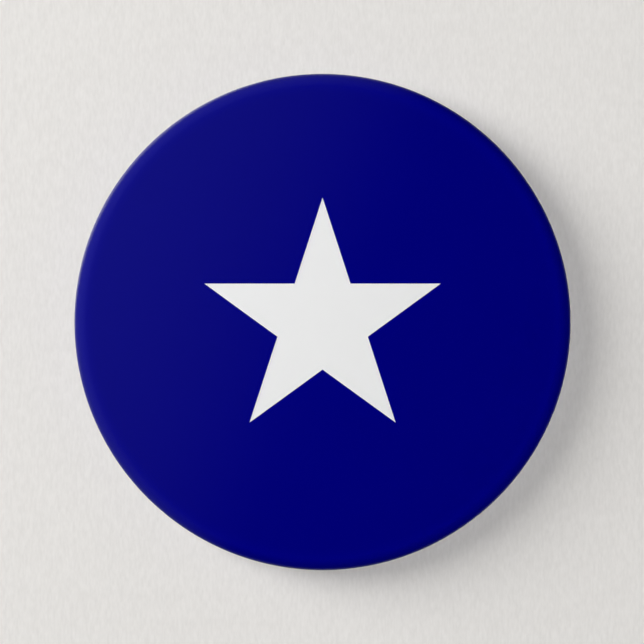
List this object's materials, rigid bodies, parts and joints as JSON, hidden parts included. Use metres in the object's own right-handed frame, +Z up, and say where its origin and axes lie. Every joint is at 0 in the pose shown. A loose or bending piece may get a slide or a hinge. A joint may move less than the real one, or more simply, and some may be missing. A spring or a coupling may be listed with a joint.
{
  "type": "button badge",
  "caption": "Domed round pin-back button badge with a white five-pointed star on navy and a hinged safety pin behind.",
  "frame": {"origin": "on the badge's axis, in the plane of the rear rim that rests on the garment", "axes": "+Z up to the star's top point, +Y out of the back, -Y out of the printed face, +X to the right seen from the front"},
  "size_m": [0.0762, 0.0085, 0.0762],
  "materials": {
    "clear_film": "clear gloss",
    "navy_ink": "printed",
    "white_paper": "smooth coated",
    "tinplate": "bright rolled tin",
    "nickel_wire": "bright nickel",
    "nickel_cap": "bright nickel"
  },
  "bodies": {
    "badge": {"film_cover": "clear_film", "artwork_ink": "navy_ink", "artwork_paper": "white_paper", "front_shell": "tinplate", "back_plate": "tinplate"},
    "safety_pin": {"pin_wire": "nickel_wire", "clasp_cap": "nickel_cap"},
    "needle": {"pin_needle": "nickel_wire"}
  },
  "joints": [
    {"name": "pin_swing", "type": "hinge", "parent": "badge", "child": "safety_pin", "pos_m": [0, -0.0005, 0.008], "axis": [1, 0, 0], "range_deg": [0, 120]},
    {"name": "needle_open", "type": "hinge", "parent": "safety_pin", "child": "needle", "pos_m": [-0.018, 0, 0.0057], "axis": [0, 1, 0], "range_deg": [0, 45]}
  ]
}
